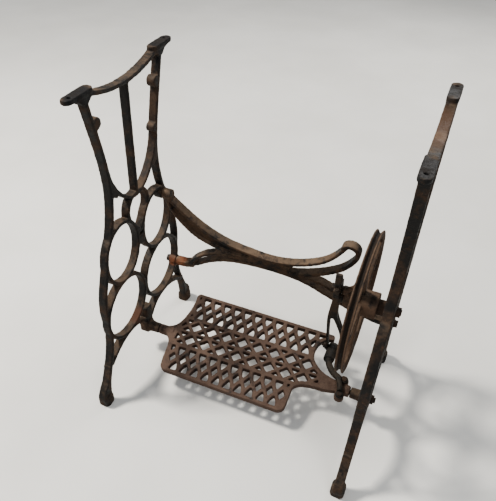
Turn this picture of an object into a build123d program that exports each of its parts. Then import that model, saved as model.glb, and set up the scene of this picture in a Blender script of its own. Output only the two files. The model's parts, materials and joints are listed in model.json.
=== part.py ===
from build123d import *
from math import asin, atan2, cos, degrees, hypot, radians, sin
import os

os.makedirs("parts", exist_ok=True)

# Driving dimensions, in millimetres. Origin: bottom centre of the stand, +X right,
# +Y to the back, +Z up.
STAND_HEIGHT = 700.0
FRAME_SPACING = 540.0
RIB_WIDTH = 8.0
RIB_DEPTH = 18.0
FOOT_REACH = 196.0
PAD_LENGTH = 73.0
PAD_WIDTH = 20.0
PAD_CENTRE = 134.5
PAD_HOLE_Y = 155.0
PAD_HOLE_D = 6.5

AXLE_HEIGHT = 331.0
AXLE_D = 16.0
AXLE_END_D = 12.0
END_STICKS_OUT = 10.0
WHEEL_R = 140.0
RIM_X = 212.0
RIM_WIDTH = 15.5
SPOKES = 5
CRANK_R = 26.0
CRANK_PIN_D = 10.0

TREADLE_AXIS_HEIGHT = 72.0
TREADLE_TILT = 13.0
PLATE_FRONT = -102.0
PLATE_REAR = 122.0
PLATE_TOP = 9.0
PLATE_DEPTH = 14.0
PIVOT_PIN_D = 10.0
PIVOT_END_X = 232.5
BRACKET_END_X = 234.0

PITMAN_X = 168.0
FORK_PIVOT_Y = 88.0
FORK_PIVOT_Z = 98.0
BARREL_R = 12.2
FORK_INNER = 12.6
RUNNING_GAP = 0.05

BRACE_TILT = atan2(0.216, 1.0)
BRACE_BAND = 7.0
BRACE_DEPTH = 20.0
BRACE_UPPER_Z = 390.0
BRACE_LOWER_Z = 168.0
BRACE_BOLT_D = 8.0

HALF = FRAME_SPACING / 2
INNER_FACE = HALF - RIB_DEPTH / 2
OUTER_FACE = HALF + RIB_DEPTH / 2

# Crank and pitman at rest: the crank points straight away from the fork pivot.
PIVOT_DY = FORK_PIVOT_Y
PIVOT_DZ = FORK_PIVOT_Z - AXLE_HEIGHT
PIVOT_RUN = hypot(PIVOT_DY, PIVOT_DZ)
PIN_Y = -CRANK_R * PIVOT_DY / PIVOT_RUN
PIN_Z = AXLE_HEIGHT - CRANK_R * PIVOT_DZ / PIVOT_RUN
PITMAN_LENGTH = PIVOT_RUN + CRANK_R
PITMAN_LEAN = degrees(asin((FORK_PIVOT_Y - PIN_Y) / PITMAN_LENGTH))
CRANK_ANGLE = degrees(atan2(PIN_Z - AXLE_HEIGHT, PIN_Y))


def rib(points, width):
    """A bar of constant width along a smooth line."""
    return trace(Spline(*points), width)


def flip(points, side):
    return [(side * y, z) for y, z in points]


def rod(x_from, x_to, radius, y=0.0, z=0.0):
    """A round bar lying along X."""
    disc = Plane(origin=(x_from, y, z), z_dir=(1, 0, 0)) * Circle(radius)
    return extrude(disc, x_to - x_from)


def hex_nut(x_from, x_to, across, bore_r, y=0.0, z=0.0):
    """A hexagon along X, bored through when bore_r is not 0."""
    plane = Plane(origin=(x_from, y, z), z_dir=(1, 0, 0))
    nut = extrude(plane * RegularPolygon(across / 2, 6, major_radius=False), x_to - x_from)
    nut = nut & rod(x_from, x_to, across * 0.555, y, z)
    if bore_r:
        nut = nut - rod(x_from - 1, x_to + 1, bore_r, y, z)
    return nut


def brace_y(z):
    """Depth of the brace's leaning plane at a height."""
    return 100.0 + (392.0 - z) * 0.216


# ---------------------------------------------------------------- side frames
LEG = [(125, 690), (112, 637), (99.5, 588), (90, 539), (86.5, 500), (90, 458), (104, 406),
       (117.5, 374), (133.5, 332), (148, 290), (154.5, 245), (149.5, 186), (157, 130),
       (173, 88), (190, 50), (198, 20)]
CRADLE = [(-88, 535), (-66, 484), (0, 443), (66, 484), (88, 535)]
DROP = [(0, 352), (22, 380), (38, 412), (28, 438), (0, 446)]


def frame_profile():
    """The openwork side frame drawn in the YZ plane, alike front and back."""
    bars = [Pos(0, 557.5) * Rectangle(7, 229)]
    bars.append(trace(ThreePointArc((-118, 694), (0, 672.5), (118, 694)), 8))
    bars.append(rib(CRADLE, 7))
    bars.append(Pos(0, AXLE_HEIGHT) * Circle(12))
    bars.append(Polygon((-12, 134), (12, 134), (14, 84), (18, 66), (-18, 66), (-14, 84), align=None))
    bars.append(Pos(0, TREADLE_AXIS_HEIGHT) * Circle(18))
    holes = []
    for side in (1, -1):
        bars.append(rib(flip(LEG, side), RIB_WIDTH))
        bars.append(rib(flip(DROP, side), RIB_WIDTH))
        bars.append(Pos(side * 71, 342) * Ellipse(64, 73))
        bars.append(Pos(side * 78, 201) * Ellipse(79, 77))
        holes.append(Pos(side * 71, 342) * Ellipse(56, 65))
        holes.append(Pos(side * 78, 201) * Ellipse(71, 69))
        # The arch over the floor opening, from the stem out to the foot.
        arch = [(13, 96), (34, 116), (62, 126), (92, 127), (122, 120), (144, 109), (164, 95)]
        bars.append(rib(flip(arch, side), 9))
        toe = make_face(
            Spline(*flip([(160, 108), (172, 76), (180, 48), (183, 20), (184, 2)], side))
            + Line((side * 184, 2), (side * 200, 2))
            + Spline(*flip([(200, 2), (208, 7), (212, 25), (206, 40), (192, 58), (176, 96)], side))
            + Line((side * 176, 96), (side * 160, 108))
        )
        bars.append(toe)
        # Web where the cradle leaves the leg.
        bars.append(Polygon((side * 88, 530), (side * 72, 500), (side * 62, 482), (side * 70, 472),
                            (side * 88, 484), align=None))
        # Bracket under the pad that carries the table top.
        bars.append(Polygon((side * 104, 699), (side * 165, 699), (side * 158, 692),
                            (side * 141, 688), (side * 132, 679), (side * 119, 677),
                            (side * 108, 684), (side * 104, 692), align=None))
        # Round ear on the inner side of each leg.
        bars.append(Pos(side * 102, 636) * Circle(11))
    # Small collar on the rear leg only.
    bars.append(Pos(86, 548) * Circle(8.5))
    bars.append(Polygon((92, 560), (80, 553), (80, 543), (90, 534), align=None))
    profile = Sketch() + bars
    profile = profile - holes
    return profile


def side_frame(side):
    x = side * HALF
    profile = frame_profile()
    bosses = [Pos(brace_y(BRACE_LOWER_Z), BRACE_LOWER_Z) * Circle(13)]
    if side < 0:
        bosses.append(Pos(brace_y(BRACE_UPPER_Z), BRACE_UPPER_Z) * Circle(13))
    else:
        bosses.append(Pos(0, AXLE_HEIGHT) * Circle(17))
    profile = profile + bosses
    plane = Plane(origin=(x, 0, 0), x_dir=(0, 1, 0), z_dir=(1, 0, 0))
    body = extrude(plane * profile, RIB_DEPTH / 2, both=True)
    for end in (1, -1):
        pad = Pos(x, end * PAD_CENTRE, STAND_HEIGHT - 8) * Rot(0, 0, 90)
        body = body + extrude(pad * SlotOverall(PAD_LENGTH, PAD_WIDTH), 8)
        foot = extrude(Pos(x, end * FOOT_REACH) * RectangleRounded(28, 30, 9), 24)
        foot = fillet(foot.edges().group_by(Axis.Z)[-1], 6)
        body = body + foot
    # Bracket that carries the treadle pivot, cast on the inner face.
    near = min(side * BRACKET_END_X, x)
    far = max(side * BRACKET_END_X, x)
    body = body + rod(near, far, 12, 0, TREADLE_AXIS_HEIGHT)
    root = loft([Plane(origin=(side * (INNER_FACE - 12), 0, TREADLE_AXIS_HEIGHT), z_dir=(side, 0, 0))
                 * Circle(11.9),
                 Plane(origin=(x, 0, TREADLE_AXIS_HEIGHT), z_dir=(side, 0, 0)) * Circle(17.5)])
    body = body + root
    # Bores.
    body = body - rod(x - 60, x + 60, 6, 0, TREADLE_AXIS_HEIGHT)
    body = body - rod(x - 20, x + 20, BRACE_BOLT_D / 2 + 0.2, brace_y(BRACE_LOWER_Z), BRACE_LOWER_Z)
    if side < 0:
        body = body - rod(x - 20, x + 20, BRACE_BOLT_D / 2 + 0.2, brace_y(BRACE_UPPER_Z),
                          BRACE_UPPER_Z)
    else:
        body = body - rod(x - 30, x + 30, AXLE_END_D / 2, 0, AXLE_HEIGHT)
    for end in (1, -1):
        screw = Pos(x, end * PAD_HOLE_Y, STAND_HEIGHT - 20) * Cylinder(PAD_HOLE_D / 2, 60)
        body = body - screw
    return body


left_frame = side_frame(-1)
right_frame = side_frame(1)

# ---------------------------------------------------------------- cross brace
BRACE_PLANE = Plane(origin=(0, brace_y(0), 0), x_dir=(1, 0, 0),
                    z_dir=(0, -cos(BRACE_TILT), -sin(BRACE_TILT)))


def lean(points):
    """Points given as x and height, moved into the leaning plane of the brace."""
    return [(x, z / cos(BRACE_TILT)) for x, z in points]


UPPER_BAND = [(-252, 387), (-236, 371), (-200, 336), (-130, 291), (-60, 274), (0, 270),
              (45, 279), (80, 294), (115, 318), (140, 350), (152, 372)]
LOOP_END = [(146, 366), (158, 377), (172, 373), (178, 356), (172, 338), (155, 312), (130, 289),
            (100, 270), (60, 252), (25, 242)]
LEFT_UNDER = [(-252, 384), (-247, 362), (-236, 338), (-218, 314), (-193, 289), (-158, 272),
              (-118, 261), (-60, 258)]
LOWER_ARC = [(-218, 176), (-200, 184), (-178, 200), (-150, 217), (-115, 231), (-80, 238),
             (-40, 241), (0, 241), (40, 238), (80, 228), (115, 212), (150, 196),
             (180, 182), (218, 174)]
LEFT_STRAND = [(-222, 174), (-213, 190), (-200, 205), (-178, 224), (-155, 237), (-130, 244),
               (-100, 248), (-66, 250), (-30, 250)]
RIGHT_STRAND = [(56, 240), (90, 246), (122, 236), (150, 220), (180, 200), (205, 184), (220, 173)]

bands = [rib(lean(line), BRACE_BAND) for line in
         (UPPER_BAND, LEFT_UNDER, LOWER_ARC, LEFT_STRAND, RIGHT_STRAND)]
bands.append(rib(lean(LOOP_END), BRACE_BAND + 2))
for side in (1, -1):
    bands.append(trace(Polyline(*lean([(side * 254, 168), (side * 232, 170), (side * 212, 177)])), 15))
# The knot in the middle where the two arches meet.
bands.append(Polygon(*lean([(-64, 268), (30, 267), (44, 274), (30, 241), (-50, 243)]), align=None))
bands.append(Pos(151, 371 / cos(BRACE_TILT)) * Circle(4.5))
brace = extrude(BRACE_PLANE * (Sketch() + bands), BRACE_DEPTH / 2, both=True)
web = make_face(
    Spline(*lean(UPPER_BAND[:5]))
    + Line(*lean([(-60, 274), (-60, 258)]))
    + Spline(*lean(LEFT_UNDER[::-1]))
    + Line(*lean([(-252, 384), (-252, 387)]))
)
brace = brace + extrude(BRACE_PLANE * web, 3, both=True)
BRACE_ENDS = [(-1, BRACE_UPPER_Z), (-1, BRACE_LOWER_Z), (1, BRACE_LOWER_Z)]
for side, z in BRACE_ENDS:
    near = min(side * INNER_FACE, side * (INNER_FACE - 22))
    brace = brace + rod(near, near + 22, 11.5, brace_y(z), z)
for side, z in BRACE_ENDS:
    near = min(side * INNER_FACE, side * (INNER_FACE - 17))
    brace = brace - rod(near - 0.01, near + 17.01, BRACE_BOLT_D / 2, brace_y(z), z)
    # Keep the bands clear of the side frame.
    cut = Pos(side * (INNER_FACE + 10), brace_y(z), z) * Box(20, 60, 60)
    brace = brace - cut

bolts = []
washers = []
for side, z in BRACE_ENDS:
    tip = side * (INNER_FACE - 15)
    seat = side * (OUTER_FACE + 2)
    y = brace_y(z)
    shank = rod(min(tip, seat), max(tip, seat), BRACE_BOLT_D / 2, y, z)
    far = side * (OUTER_FACE + 8)
    head = hex_nut(min(seat, far), max(seat, far), 15, 0, y, z)
    bolts.append(shank + head)
    face = side * OUTER_FACE
    disc = rod(min(face, seat), max(face, seat), 9.5, y, z)
    washers.append(disc - rod(side * HALF - 60, side * HALF + 60, BRACE_BOLT_D / 2 + 0.2, y, z))

# ------------------------------------------------------------ axle and its nut
axle = rod(175.6, INNER_FACE, AXLE_D / 2, 0, AXLE_HEIGHT)
axle = axle + rod(245.6, INNER_FACE, 15, 0, AXLE_HEIGHT)
axle = axle + rod(INNER_FACE - 1, OUTER_FACE + END_STICKS_OUT, AXLE_END_D / 2, 0, AXLE_HEIGHT)
axle_washer = rod(OUTER_FACE, OUTER_FACE + 2, 11, 0, AXLE_HEIGHT)
axle_washer = axle_washer - rod(OUTER_FACE - 1, OUTER_FACE + 4, AXLE_END_D / 2, 0, AXLE_HEIGHT)
axle_nut = hex_nut(OUTER_FACE + 2, OUTER_FACE + 8.5, 18, AXLE_END_D / 2, 0, AXLE_HEIGHT)
end_collar = rod(176.6, 180.5, 12, 0, AXLE_HEIGHT) - rod(170, 190, AXLE_D / 2, 0, AXLE_HEIGHT)

# -------------------------------------------------------------- treadle pivots
PIVOT_PARTS = {}
locknuts = []
for side, name in ((-1, "pivot_screw_left"), (1, "pivot_screw_right")):
    tip = side * (PIVOT_END_X - 11)
    step = side * BRACKET_END_X
    end = side * (OUTER_FACE + END_STICKS_OUT)
    screw = rod(min(tip, step), max(tip, step), PIVOT_PIN_D / 2, 0, TREADLE_AXIS_HEIGHT)
    screw = screw + rod(min(step, end), max(step, end), 6, 0, TREADLE_AXIS_HEIGHT)
    slot = Pos(end, 0, TREADLE_AXIS_HEIGHT) * Box(4, 14, 1.6)
    PIVOT_PARTS[name] = screw - slot
    face = side * OUTER_FACE
    back = side * (OUTER_FACE + 6)
    locknuts.append(hex_nut(min(face, back), max(face, back), 18, 6, 0, TREADLE_AXIS_HEIGHT))

# --------------------------------------------------------------- treadle plate
MID_U = (PLATE_FRONT + PLATE_REAR) / 2
INNER_RAIL = 38.5
LINK_PITCH = 26.7
DIAMOND_PITCH = 39.6
LINK_WIDTH = 8.2
DIAMOND_WIDTH = 7.4

outline = make_face(
    Line((-170, PLATE_FRONT), (99, PLATE_FRONT))
    + ThreePointArc((99, PLATE_FRONT), (110.3, PLATE_FRONT + 4.7), (115, PLATE_FRONT + 16))
    + Line((115, PLATE_FRONT + 16), (115, -46))
    + Spline((115, -46), (119, -33), (131, -25), (160, -19.5), (200, -13.5))
    + Line((200, -13.5), (230, -11))
    + Line((230, -11), (230, 11))
    + Line((230, 11), (200, 13.5))
    + Spline((200, 13.5), (170, 20), (148, 34), (136, 50), (132.5, 68), (135, 86), (143, 99),
             (152, 106), (164, 108))
    + Line((164, 108), (164, PLATE_REAR - 6))
    + ThreePointArc((164, PLATE_REAR - 6), (162.3, PLATE_REAR - 1.7), (158, PLATE_REAR))
    + Line((158, PLATE_REAR), (-178, PLATE_REAR))
    + ThreePointArc((-178, PLATE_REAR), (-183.7, PLATE_REAR - 2.3), (-186, PLATE_REAR - 8))
    + Spline((-186, PLATE_REAR - 8), (-183.5, 80), (-188, 45), (-197, 22), (-212, 11))
    + Line((-212, 11), (-212, -11))
    + Spline((-212, -11), (-199, -24), (-192, -46), (-186, PLATE_FRONT + 16))
    + ThreePointArc((-186, PLATE_FRONT + 16), (-181.3, PLATE_FRONT + 4.7), (-170, PLATE_FRONT))
)
field = Polygon((-170, PLATE_FRONT + 8), (100, PLATE_FRONT + 8), (106, PLATE_FRONT + 14),
                (106, -42), (113, -25),
                (128, -16), (163, -8), (163, 10), (146, 22), (128, 44), (123, 68), (126, 90),
                (136, 105), (154, PLATE_REAR - 8), (-177, PLATE_REAR - 8), (-174, 80),
                (-178, 46), (-186, 22), (-186, -22), (-180, -48), (-177, PLATE_FRONT + 15),
                align=None)


def link_band(low, high, width):
    """Pairs of crossing S-shaped bars that make a chain of tall pointed openings."""
    bars = []
    middle = (low + high) / 2
    for k in range(-7, 6):
        x = 5 + LINK_PITCH * k
        for hand in (1, -1):
            reach = hand * LINK_PITCH / 2
            line = Spline((x - reach, low), (x, middle), (x + reach, high),
                          tangents=[(0, 1), (0, 1)])
            bars.append(trace(line, width))
    return bars


def diamond_band(low, high, width):
    bars = []
    for k in range(-5, 5):
        x = -11 + DIAMOND_PITCH * k
        for hand in (1, -1):
            reach = hand * DIAMOND_PITCH / 2
            bars.append(trace(Line((x - reach, low), (x + reach, high)), width))
    return bars


lattice = link_band(PLATE_FRONT + 4, MID_U - INNER_RAIL, LINK_WIDTH)
lattice += link_band(MID_U + INNER_RAIL, PLATE_REAR - 4, LINK_WIDTH)
lattice += diamond_band(MID_U - INNER_RAIL, MID_U, DIAMOND_WIDTH)
lattice += diamond_band(MID_U, MID_U + INNER_RAIL, DIAMOND_WIDTH)
for u, width in ((MID_U - INNER_RAIL, 9), (MID_U, 6), (MID_U + INNER_RAIL, 9)):
    lattice.append(Pos(0, u) * Rectangle(420, width))
openings = field - lattice
plate_face = outline - openings
LEVER_SEATS = [(214, 18), (214, -20)]
for x, u in LEVER_SEATS:
    plate_face = plate_face + Pos(x, u) * Circle(10.5)
plate_face = plate_face + Pos(214, 0) * Rectangle(18, 30)
plate = extrude(Pos(0, 0, PLATE_TOP - PLATE_DEPTH) * plate_face, PLATE_DEPTH)
for side in (1, -1):
    near = min(side * 196, side * PIVOT_END_X)
    plate = plate + rod(near, near + PIVOT_END_X - 196, 12)
for side in (1, -1):
    near = min(side * (PIVOT_END_X - 12), side * (PIVOT_END_X + 1))
    plate = plate - rod(near, near + 13, PIVOT_PIN_D / 2 + RUNNING_GAP)
for x, u in LEVER_SEATS:
    plate = plate - Pos(x, u, 0) * Cylinder(3, 60)
TREADLE = Pos(0, 0, TREADLE_AXIS_HEIGHT) * Rot(TREADLE_TILT, 0, 0)

# --------------------------------------------------------------- treadle lever
lean_t = radians(TREADLE_TILT)
rise = FORK_PIVOT_Z - TREADLE_AXIS_HEIGHT
fork_u = FORK_PIVOT_Y * cos(lean_t) + rise * sin(lean_t)
fork_w = rise * cos(lean_t) - FORK_PIVOT_Y * sin(lean_t)
barrel_dir = (0, cos(lean_t), -sin(lean_t))
barrel_start = (PITMAN_X, fork_u - 41 * cos(lean_t), fork_w + 41 * sin(lean_t))
barrel = extrude(Plane(origin=barrel_start, z_dir=barrel_dir) * Circle(BARREL_R), 47)
barrel = chamfer(barrel.edges().filter_by(GeomType.CIRCLE), 1.2)


def tube(points, radius):
    """A round bar following a smooth line in space."""
    line = Spline(*points)
    section = Plane(origin=line @ 0, z_dir=line % 0) * Circle(radius)
    return sweep(section, path=line)


lever = barrel + tube([(168, 56, 14), (169.5, 47, 16.5), (177, 34, 18), (188, 23, 17.5),
                       (200, 17, 16.6)], 7)
lever = lever + tube([(193, 20, 17), (200, 17, 16.2), (206.5, 17.6, 15.2)], 5.8)
lever = lever + tube([(192, 20, 17.4), (202, 12, 19), (208, 1, 20), (211, -7, 18), (212.5, -12.5, 15.4)],
                     5.8)
for x, u in LEVER_SEATS:
    lever = lever + Pos(x, u, PLATE_TOP + 3) * Cylinder(8.5, 6)
# Room for the two bolt heads, then the bolt holes.
for x, u in LEVER_SEATS:
    lever = lever - Pos(x, u, PLATE_TOP + 16) * Cylinder(6.8, 20)
    lever = lever - Pos(x, u, 0) * Cylinder(3.2, 60)
lever = lever - Pos(214, 0, PLATE_TOP - 10) * Box(60, 60, 20)

lever_bolts = []
lever_nuts = []
for x, u in LEVER_SEATS:
    shank = Pos(x, u, 4.5) * Cylinder(3, 27)
    head = Pos(x, u, PLATE_TOP + 6) * extrude(RegularPolygon(5.0, 6, major_radius=False), 2.6)
    lever_bolts.append(shank + head)
    nut = Pos(x, u, PLATE_TOP - PLATE_DEPTH - 5) * extrude(
        RegularPolygon(5.5, 6, major_radius=False), 5)
    lever_nuts.append(nut - Pos(x, u, 0) * Cylinder(3, 60))

# ----------------------------------------------------------------- drive wheel
half_rim = RIM_WIDTH / 2
rim_points = [(RIM_X - half_rim, WHEEL_R - 1), (RIM_X - half_rim + 1, WHEEL_R),
              (RIM_X - half_rim + 2.5, WHEEL_R), (RIM_X - 1.5, WHEEL_R - 7),
              (RIM_X + 1.5, WHEEL_R - 7), (RIM_X + half_rim - 2.5, WHEEL_R),
              (RIM_X + half_rim - 1, WHEEL_R), (RIM_X + half_rim, WHEEL_R - 1),
              (RIM_X + half_rim, WHEEL_R - 8), (RIM_X + 4, WHEEL_R - 14),
              (RIM_X - 4, WHEEL_R - 14), (RIM_X - half_rim, WHEEL_R - 8)]
rim_face = make_face(Polyline(*rim_points, close=True))
wheel = revolve(rim_face, Axis.X, 360)
wheel = wheel + rod(181, 214, 19) + rod(213, 245, 26)


def polar(radius, angle):
    return (radius * cos(radians(angle)), radius * sin(radians(angle)))


WHEEL_PLANE = Plane(origin=(RIM_X, 0, 0), x_dir=(0, 1, 0), z_dir=(1, 0, 0))
spokes = []
for k in range(SPOKES):
    start = CRANK_ANGLE - 12 + 360 / SPOKES * k
    line = [polar(12, start - 6), polar(44, start + 4), polar(76, start + 12), polar(104, start + 12),
            polar(128, start + 6)]
    spokes.append(rib(line, 13))
wheel = wheel + extrude(WHEEL_PLANE * (Sketch() + spokes), 6, both=True)
# Crank: a lug beside the hub, tied to a spoke by a curved arm.
crank_y, crank_z = polar(CRANK_R, CRANK_ANGLE)
wheel = wheel + rod(177.5, 190, 9, crank_y, crank_z)
arm_line = []
for x, radius in ((181.5, 27), (186, 31), (192, 37), (199, 47), (203, 61), (209, 76)):
    y, z = polar(radius, CRANK_ANGLE)
    arm_line.append((x, y, z))
wheel = wheel + tube(arm_line, 5.5)
wheel = wheel - rod(170, 260, AXLE_D / 2 + RUNNING_GAP)
wheel = wheel - rod(170, 188, 4, crank_y, crank_z)
wheel = Pos(0, 0, AXLE_HEIGHT) * wheel

crank_pin = rod(158, 161, 4, PIN_Y, PIN_Z) + rod(161, 175, CRANK_PIN_D / 2, PIN_Y, PIN_Z)
crank_pin = crank_pin + rod(174.6, 177.5, 7.5, PIN_Y, PIN_Z) + rod(177, 187.5, 4, PIN_Y, PIN_Z)
crank_pin = crank_pin + rod(154.5, 158.5, 4, PIN_Y, PIN_Z)
crank_nut = hex_nut(155.5, 161, 15, 4, PIN_Y, PIN_Z)

# ---------------------------------------------------------------------- pitman
PITMAN = Pos(PITMAN_X, PIN_Y, PIN_Z) * Rot(PITMAN_LEAN, 0, 0)
low = -PITMAN_LENGTH
right_edge = [(6, -8), (5, -45), (3, -85), (4, -112), (10, -142), (15.2, -168), (17.1, -190)]
left_edge = [(-6, -8), (-8.5, -40), (-13, -80), (-16.3, -115), (-17.2, -150), (-17.1, -185)]
crotch = [(FORK_INNER, -195), (9.4, -170), (4, -147), (-1.5, -127), (-6, -118), (-9.8, -127),
          (-12, -145), (-FORK_INNER, -165)]
fork_face = make_face(
    Line((-6, -8), (6, -8))
    + Spline(*right_edge)
    + Line(right_edge[-1], (17.1, low - 11))
    + Line((17.1, low - 11), (FORK_INNER, low - 11))
    + Line((FORK_INNER, low - 11), crotch[0])
    + Spline(*crotch)
    + Line(crotch[-1], (-FORK_INNER, low - 11))
    + Line((-FORK_INNER, low - 11), (-17.1, low - 11))
    + Line((-17.1, low - 11), left_edge[-1])
    + Spline(*left_edge[::-1])
)
pitman = extrude(Plane.XZ * fork_face, 6.5, both=True)
pitman = pitman + Pos(0, 0, -6.5) * Box(12, 32, 13)
for side in (1, -1):
    near = min(side * FORK_INNER, side * 19)
    pitman = pitman + rod(near, near + 19 - FORK_INNER, 8.5, 0, low)
pitman = pitman - rod(-30, 30, 3, 0, low)
pitman = pitman - rod(-20, 20, 7.5)
pitman = pitman - Pos(0, 0, 10) * Box(40, 60, 20)
for side in (1, -1):
    pitman = pitman - Pos(0, side * 11.8, 0) * Cylinder(2, 22)

# Bearing cap, with a tapered lug standing up from it.
lug = make_face(Polyline((-9, 8), (9, 8), (8, 24), (5.5, 40), (2.5, 51), (-2.5, 51), (-5.5, 40),
                         (-8, 24), close=True))
cap = Pos(0, 0, 6.5) * Box(12, 32, 13)
cap = cap + extrude(Plane.YZ * lug, 6, both=True)
cap = cap - rod(-20, 20, 7.5)
for side in (1, -1):
    cap = cap - Pos(0, side * 11.8, 0) * Cylinder(2.1, 60)
    cap = cap - Pos(0, side * 11.8, 20) * Cylinder(3.9, 14)
cap_screws = []
for side in (1, -1):
    shank = Pos(0, side * 11.8, 1.5) * Cylinder(2, 23)
    head = Pos(0, side * 11.8, 14.8) * Cylinder(3.6, 3.6)
    groove = Pos(0, side * 11.8, 17) * Box(10, 1, 2)
    cap_screws.append(shank + head - groove)
bushing = rod(-6, 6, 7.5) - rod(-7, 7, CRANK_PIN_D / 2 + RUNNING_GAP)

point_screws = []
point_nuts = []
for side in (1, -1):
    tip = BARREL_R + 0.3
    cone = revolve(make_face(Polyline((tip, 0), (tip, 0.8), (tip + 2.2, 3), (26, 3), (26, 0),
                                      close=True)), Axis.X, 360)
    cone = cone - Pos(26, 0, 0) * Box(3, 10, 1)
    nut = hex_nut(19, 23.5, 11, 3)
    turn = Pos(0, 0, low) if side > 0 else Pos(0, 0, low) * Rot(0, 0, 180)
    point_screws.append(turn * cone)
    point_nuts.append(turn * nut)

# ----------------------------------------------------------------------- write


def together(shapes):
    return Compound(children=list(shapes))


NODES = {
    "left_side_frame": left_frame,
    "right_side_frame": right_frame,
    "cross_brace": brace,
    "brace_bolts": together(bolts),
    "brace_washers": together(washers),
    "wheel_axle": axle,
    "axle_washer": axle_washer,
    "axle_nut": axle_nut,
    "axle_end_collar": end_collar,
    "pivot_screw_left": PIVOT_PARTS["pivot_screw_left"],
    "pivot_screw_right": PIVOT_PARTS["pivot_screw_right"],
    "pivot_locknuts": together(locknuts),
    "treadle_plate": TREADLE * plate,
    "treadle_lever": TREADLE * lever,
    "lever_bolts": TREADLE * together(lever_bolts),
    "lever_nuts": TREADLE * together(lever_nuts),
    "drive_wheel": wheel,
    "crank_pin": crank_pin,
    "crank_pin_nut": crank_nut,
    "pitman_rod": PITMAN * pitman,
    "pitman_cap": PITMAN * cap,
    "pitman_bushing": PITMAN * bushing,
    "cap_screws": PITMAN * together(cap_screws),
    "fork_point_screws": PITMAN * together(point_screws),
    "fork_screw_nuts": PITMAN * together(point_nuts),
}

for name, shape in NODES.items():
    export_step(shape, "parts/" + name + ".step")
    print(name, len(shape.solids()), "solids", round(shape.volume))
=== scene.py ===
import bpy
from mathutils import Matrix, Vector
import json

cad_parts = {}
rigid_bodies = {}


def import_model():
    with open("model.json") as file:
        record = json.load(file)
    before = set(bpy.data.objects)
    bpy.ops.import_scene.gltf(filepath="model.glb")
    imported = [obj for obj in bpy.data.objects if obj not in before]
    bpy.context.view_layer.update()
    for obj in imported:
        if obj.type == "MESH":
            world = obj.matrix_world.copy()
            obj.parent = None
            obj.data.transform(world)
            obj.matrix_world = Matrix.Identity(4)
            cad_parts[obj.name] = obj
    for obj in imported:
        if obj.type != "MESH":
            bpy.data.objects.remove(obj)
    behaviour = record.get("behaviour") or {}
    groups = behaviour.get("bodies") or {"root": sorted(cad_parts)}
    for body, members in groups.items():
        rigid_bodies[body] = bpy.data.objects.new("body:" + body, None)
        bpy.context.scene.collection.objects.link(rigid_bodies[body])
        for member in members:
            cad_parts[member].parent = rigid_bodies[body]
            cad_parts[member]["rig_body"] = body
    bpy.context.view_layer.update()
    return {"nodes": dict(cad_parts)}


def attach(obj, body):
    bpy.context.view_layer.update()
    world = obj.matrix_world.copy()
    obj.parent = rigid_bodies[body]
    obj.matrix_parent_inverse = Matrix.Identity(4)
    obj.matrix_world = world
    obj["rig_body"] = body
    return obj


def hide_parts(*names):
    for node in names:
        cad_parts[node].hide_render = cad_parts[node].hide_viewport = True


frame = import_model()

# ------------------------------------------------------------------ materials


def node(tree, kind, **values):
    made = tree.nodes.new(kind)
    for key, value in values.items():
        setattr(made, key, value)
    return made


def noise(tree, coords, scale, detail=6.0, rough=0.6, distortion=0.0):
    made = node(tree, "ShaderNodeTexNoise")
    made.inputs["Scale"].default_value = scale
    made.inputs["Detail"].default_value = detail
    made.inputs["Roughness"].default_value = rough
    made.inputs["Distortion"].default_value = distortion
    tree.links.new(coords, made.inputs["Vector"])
    return made.outputs["Fac"]


def ramp(tree, value, low, high):
    made = node(tree, "ShaderNodeMapRange")
    made.interpolation_type = "SMOOTHSTEP"
    made.inputs["From Min"].default_value = low
    made.inputs["From Max"].default_value = high
    tree.links.new(value, made.inputs["Value"])
    return made.outputs["Result"]


def math_node(tree, operation, a, b):
    made = node(tree, "ShaderNodeMath", operation=operation)
    for slot, item in zip(made.inputs, (a, b)):
        if isinstance(item, (int, float)):
            slot.default_value = item
        else:
            tree.links.new(item, slot)
    return made.outputs[0]


def mix_colour(tree, factor, a, b):
    made = node(tree, "ShaderNodeMix", data_type="RGBA")
    if isinstance(factor, (int, float)):
        made.inputs[0].default_value = factor
    else:
        tree.links.new(factor, made.inputs[0])
    for slot, item in ((made.inputs[6], a), (made.inputs[7], b)):
        if isinstance(item, tuple):
            slot.default_value = (*item, 1.0)
        else:
            tree.links.new(item, slot)
    return made.outputs[2]


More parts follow.
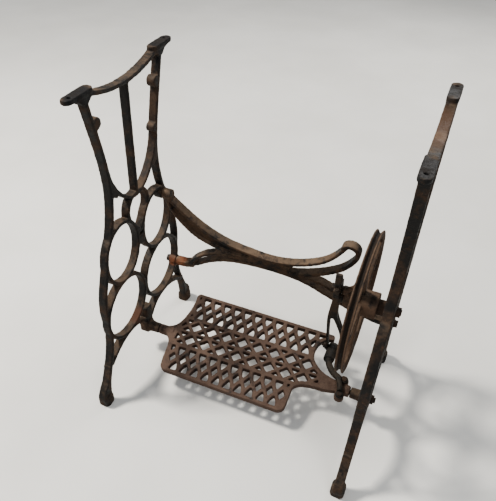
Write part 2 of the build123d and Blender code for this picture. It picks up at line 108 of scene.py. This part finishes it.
def rusted_iron(name, dark, rust, bright, dust_and_sunlit_top, rust_amount=0.5, dust_and_sunlit_top_amount=0.5, pits=0.0005,
                patches=(), groove=None):
    """Old cast iron: black remains, brown rust, brighter specks, dust and painted sunlight on what
    faces up.
    patches: (centre, radius, colour) for places with a shade of their own.
    groove: (centre, least radius, half width) of a ring about X that gets painted shade inside."""
    material = bpy.data.materials.new(name)
    material.use_nodes = True
    tree = material.node_tree
    shader = tree.nodes["Principled BSDF"]
    shader.inputs["Specular IOR Level"].default_value = 0.2
    shader.inputs["Metallic"].default_value = 0.0
    where = node(tree, "ShaderNodeTexCoord")
    coords = where.outputs["Object"]
    broad = noise(tree, coords, 9.0, 5.0, 0.62, 0.5)
    medium = noise(tree, coords, 46.0, 7.0, 0.66, 0.3)
    fine = noise(tree, coords, 330.0, 5.0, 0.7)
    grain = noise(tree, coords, 1100.0, 3.0, 0.6)
    blend = math_node(tree, "ADD", math_node(tree, "MULTIPLY", broad, 0.5),
                      math_node(tree, "MULTIPLY", medium, 0.5))
    edge = 0.62 - 0.24 * rust_amount
    rusty = ramp(tree, blend, edge - 0.07, edge + 0.07)
    colour = mix_colour(tree, rusty, dark, rust)
    specks = ramp(tree, fine, 0.54, 0.70)
    specks = math_node(tree, "MULTIPLY", specks, ramp(tree, medium, 0.44, 0.62))
    colour = mix_colour(tree, math_node(tree, "MULTIPLY", specks, 0.75), colour, bright)
    # Dust and weathered, paler rust where the surface faces up, which also serves as painted sunlight
    # lightening every upward face.
    split = node(tree, "ShaderNodeSeparateXYZ")
    tree.links.new(where.outputs["Normal"], split.inputs[0])
    dust_and_sunlit_top_mask = ramp(tree, split.outputs["Z"], 0.25, 0.95)
    dust_and_sunlit_top_mask = math_node(tree, "MULTIPLY", dust_and_sunlit_top_mask, ramp(tree, medium, 0.30, 0.60))
    dust_and_sunlit_top_mask = math_node(tree, "MULTIPLY", dust_and_sunlit_top_mask, dust_and_sunlit_top_amount)
    colour = mix_colour(tree, dust_and_sunlit_top_mask, colour, dust_and_sunlit_top)
    # Dark pits.
    hollow = ramp(tree, fine, 0.44, 0.30)
    colour = mix_colour(tree, math_node(tree, "MULTIPLY", hollow, 0.6), colour,
                        tuple(0.45 * c for c in dark))
    for centre, radius, shade in patches:
        gap = node(tree, "ShaderNodeVectorMath", operation="DISTANCE")
        tree.links.new(coords, gap.inputs[0])
        gap.inputs[1].default_value = centre
        near = math_node(tree, "ADD", gap.outputs["Value"],
                         math_node(tree, "MULTIPLY", math_node(tree, "SUBTRACT", medium, 0.5),
                                   radius * 1.4))
        spot = ramp(tree, near, radius, radius * 0.45)
        colour = mix_colour(tree, math_node(tree, "MULTIPLY", spot, 0.85), colour, shade)
    # Painted shade: the inside of the wheel's belt groove is darkened.
    if groove:
        centre, least, half = groove
        offset = node(tree, "ShaderNodeVectorMath", operation="SUBTRACT")
        tree.links.new(coords, offset.inputs[0])
        offset.inputs[1].default_value = centre
        away = node(tree, "ShaderNodeSeparateXYZ")
        tree.links.new(offset.outputs[0], away.inputs[0])
        across, deep, high = away.outputs
        squares = math_node(tree, "ADD", math_node(tree, "MULTIPLY", deep, deep),
                            math_node(tree, "MULTIPLY", high, high))
        radius = math_node(tree, "SQRT", squares, 0)
        between = ramp(tree, math_node(tree, "ABSOLUTE", across, 0), half, half * 0.45)
        groove_shade_mask = math_node(tree, "MULTIPLY", between, ramp(tree, radius, least, least + 0.002))
        colour = mix_colour(tree, math_node(tree, "MULTIPLY", groove_shade_mask, 0.85), colour, dark)
    tree.links.new(colour, shader.inputs["Base Color"])
    rough = math_node(tree, "ADD", math_node(tree, "MULTIPLY", rusty, 0.24),
                      math_node(tree, "MULTIPLY", medium, 0.22))
    rough = math_node(tree, "ADD", rough, 0.42)
    tree.links.new(rough, shader.inputs["Roughness"])
    height = math_node(tree, "ADD", math_node(tree, "MULTIPLY", fine, 0.75),
                       math_node(tree, "MULTIPLY", grain, 0.35))
    height = math_node(tree, "ADD", height, math_node(tree, "MULTIPLY", medium, 1.2))
    bump = node(tree, "ShaderNodeBump")
    bump.inputs["Strength"].default_value = 0.75
    bump.inputs["Distance"].default_value = pits * 3
    tree.links.new(height, bump.inputs["Height"])
    tree.links.new(bump.outputs["Normal"], shader.inputs["Normal"])
    return material


# Places on the stand that have a shade of their own, or painted shade in the wheel's groove, in
# metres.
FRAME_X = 0.27
PAD_Y = 0.135
TOP_Z = 0.70
BOLT_Y = 0.149
BOLT_Z = 0.168
BRACE_FOOT_X = -0.245
WHEEL_CENTRE = (0.212, 0.0, 0.331)
GROOVE_BOTTOM_R = 0.128
GROOVE_HALF = 0.0052
FRESH_RUST = (0.17, 0.062, 0.028)
OLD_BLACK = (0.005, 0.0054, 0.0062)

# The four pads under the table top kept their black.
PAD_PATCHES = [((x, y, TOP_Z), 0.042, OLD_BLACK) for x in (-FRAME_X, FRAME_X) for y in (-PAD_Y, PAD_Y)]
# Rust round the lower left brace bolt, low on the left frame, and on the right frame's top rail.
FRAME_PATCHES = [
    ((-FRAME_X, BOLT_Y, BOLT_Z), 0.019, FRESH_RUST),
    ((-FRAME_X, -0.045, 0.140), 0.026, (0.075, 0.034, 0.020)),
    ((FRAME_X, 0.030, 0.674), 0.075, (0.078, 0.042, 0.024)),
    ((FRAME_X, 0.010, 0.672), 0.020, (0.125, 0.080, 0.052)),
]
BRACE_PATCHES = [((BRACE_FOOT_X, BOLT_Y, BOLT_Z), 0.022, FRESH_RUST)]

FRAME_IRON = rusted_iron("frame_iron", (0.0100, 0.0092, 0.0085), (0.048, 0.030, 0.020),
                         (0.115, 0.066, 0.037), (0.125, 0.090, 0.062), 0.45, 0.50,
                         patches=FRAME_PATCHES + PAD_PATCHES)
BRACE_IRON = rusted_iron("brace_iron", (0.012, 0.011, 0.010), (0.072, 0.044, 0.028),
                         (0.13, 0.074, 0.042), (0.165, 0.118, 0.080), 0.66, 0.72,
                         patches=BRACE_PATCHES)
TREADLE_IRON = rusted_iron("treadle_iron", (0.018, 0.014, 0.012), (0.074, 0.046, 0.034),
                           (0.14, 0.080, 0.052), (0.128, 0.088, 0.066), 0.85, 0.55)
LEVER_IRON = rusted_iron("lever_iron", (0.011, 0.011, 0.010), (0.034, 0.025, 0.018),
                         (0.08, 0.052, 0.034), (0.070, 0.056, 0.043), 0.35, 0.35)
WHEEL_IRON = rusted_iron("wheel_iron", (0.016, 0.013, 0.011), (0.082, 0.050, 0.033),
                         (0.15, 0.088, 0.054), (0.155, 0.113, 0.080), 0.75, 0.40,
                         groove=(WHEEL_CENTRE, GROOVE_BOTTOM_R, GROOVE_HALF))
PITMAN_IRON = rusted_iron("pitman_iron", (0.012, 0.011, 0.010), (0.056, 0.037, 0.025),
                          (0.11, 0.068, 0.040), (0.11, 0.083, 0.062), 0.58, 0.45)
FASTENER = rusted_iron("fastener_steel", (0.010, 0.009, 0.008), (0.042, 0.025, 0.017),
                       (0.10, 0.050, 0.028), (0.075, 0.052, 0.036), 0.55, 0.35, 0.0003)
BUSHING = rusted_iron("bushing_metal", (0.05, 0.036, 0.018), (0.16, 0.105, 0.045),
                      (0.26, 0.17, 0.07), (0.20, 0.15, 0.08), 0.7, 0.3, 0.0002)

FINISH = {
    "left_side_frame": FRAME_IRON, "right_side_frame": FRAME_IRON, "cross_brace": BRACE_IRON,
    "treadle_plate": TREADLE_IRON, "treadle_lever": LEVER_IRON, "drive_wheel": WHEEL_IRON,
    "pitman_rod": PITMAN_IRON, "pitman_cap": PITMAN_IRON, "pitman_bushing": BUSHING,
}
for name, item in frame["nodes"].items():
    item.data.materials.clear()
    item.data.materials.append(FINISH.get(name, FASTENER))

# --------------------------------------------------- castings with soft edges
LUMP_SIZE = 0.009
LUMP_MIDDLE = 0.42


def cast_copy(name, voxel, soften, lumps):
    """A copy of a CAD piece with the rounded edges and uneven skin of an old sand casting."""
    source = frame["nodes"][name]
    skin = bpy.data.objects.new(name + "_casting", source.data.copy())
    bpy.context.scene.collection.objects.link(skin)
    remesh = skin.modifiers.new("remesh", "REMESH")
    remesh.mode = "VOXEL"
    remesh.voxel_size = voxel
    smooth = skin.modifiers.new("smooth", "SMOOTH")
    smooth.factor = 0.6
    smooth.iterations = soften
    clouds = bpy.data.textures.new(name + "_lumps", "CLOUDS")
    clouds.noise_scale = LUMP_SIZE
    clouds.noise_depth = 3
    lump = skin.modifiers.new("lumps", "DISPLACE")
    lump.texture = clouds
    lump.texture_coords = "LOCAL"
    lump.mid_level = LUMP_MIDDLE
    lump.strength = lumps
    graph = bpy.context.evaluated_depsgraph_get()
    mesh = bpy.data.meshes.new_from_object(skin.evaluated_get(graph))
    skin.modifiers.clear()
    skin.data = mesh
    mesh.materials.clear()
    mesh.materials.append(FINISH[name])
    for face in mesh.polygons:
        face.use_smooth = True
    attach(skin, source["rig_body"])
    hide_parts(name)
    return skin


# Name, voxel size, rounds of smoothing, and height of the lumps.
CASTINGS = [
    ("left_side_frame", 0.0014, 6, 0.0011), ("right_side_frame", 0.0014, 6, 0.0011),
    ("cross_brace", 0.0014, 5, 0.0011), ("treadle_plate", 0.0014, 4, 0.0010),
    ("treadle_lever", 0.0012, 5, 0.0008), ("drive_wheel", 0.0014, 4, 0.0009),
    ("pitman_rod", 0.0011, 3, 0.0006), ("pitman_cap", 0.0010, 3, 0.0005),
]
for name, voxel, soften, lumps in CASTINGS:
    cast_copy(name, voxel, soften, lumps)

# ------------------------------------------------------------ floor and light


def floor_material():
    material = bpy.data.materials.new("floor")
    material.use_nodes = True
    tree = material.node_tree
    shader = tree.nodes["Principled BSDF"]
    shader.inputs["Roughness"].default_value = 0.92
    shader.inputs["Specular IOR Level"].default_value = 0.15
    coords = node(tree, "ShaderNodeTexCoord").outputs["Object"]
    broad = noise(tree, coords, 1.6, 4.0, 0.55)
    colour = mix_colour(tree, ramp(tree, broad, 0.3, 0.7), (0.66, 0.645, 0.605), (0.73, 0.715, 0.675))
    tree.links.new(colour, shader.inputs["Base Color"])
    return material


bpy.ops.mesh.primitive_plane_add(size=14, location=(0, 0, 0))
floor = bpy.context.object
floor.name = "floor"
floor.data.materials.append(floor_material())


def area_light(name, place, aim, size, power, tint):
    lamp = bpy.data.lights.new(name, "AREA")
    lamp.shape = "DISK"
    lamp.size = size
    lamp.energy = power
    lamp.color = tint
    holder = bpy.data.objects.new(name, lamp)
    bpy.context.scene.collection.objects.link(holder)
    holder.location = place
    holder.rotation_euler = (Vector(aim) - Vector(place)).to_track_quat("-Z", "Y").to_euler()
    return holder


# Name, place, aim, size in metres, power in watts, tint.
LIGHTS = [
    ("key", (-1.9, -0.4, 2.9), (0, 0, 0.2), 0.55, 122, (1.0, 0.965, 0.91)),
    ("fill", (1.7, -2.4, 2.3), (0, 0, 0.3), 2.2, 31, (0.93, 0.96, 1.0)),
    ("rim", (0.6, 2.6, 1.9), (0, 0, 0.35), 1.6, 30, (1.0, 0.98, 0.95)),
]
for light in LIGHTS:
    area_light(*light)
SKY = (0.86, 0.90, 0.96, 1.0)
SKY_STRENGTH = 0.37
world = bpy.data.worlds.new("studio")
bpy.context.scene.world = world
world.use_nodes = True
world.node_tree.nodes["Background"].inputs["Color"].default_value = SKY
world.node_tree.nodes["Background"].inputs["Strength"].default_value = SKY_STRENGTH

# --------------------------------------------------------------------- camera
# The eye stands in front of the right side frame and looks down at the stand.
EYE = Vector((0.29175, -0.8477, 1.06652))
TURN = Vector((2.2445, 0.4866, -0.2078))
turn = Matrix.Rotation(TURN.length, 3, TURN.normalized())
looks = turn.transposed() @ Matrix(((1, 0, 0), (0, -1, 0), (0, 0, -1)))
lens = bpy.data.cameras.new("camera")
lens.sensor_width = 36.0
lens.lens = 41.52
lens.shift_x = 0.0577
lens.shift_y = 0.0737
lens.clip_start = 0.02
camera = bpy.data.objects.new("camera", lens)
bpy.context.scene.collection.objects.link(camera)
camera.matrix_world = Matrix.Translation(EYE) @ looks.to_4x4()
bpy.context.scene.camera = camera
scene = bpy.context.scene
scene.view_settings.view_transform = "AgX"
scene.view_settings.look = "AgX - Medium High Contrast"
scene.view_settings.exposure = 0.25
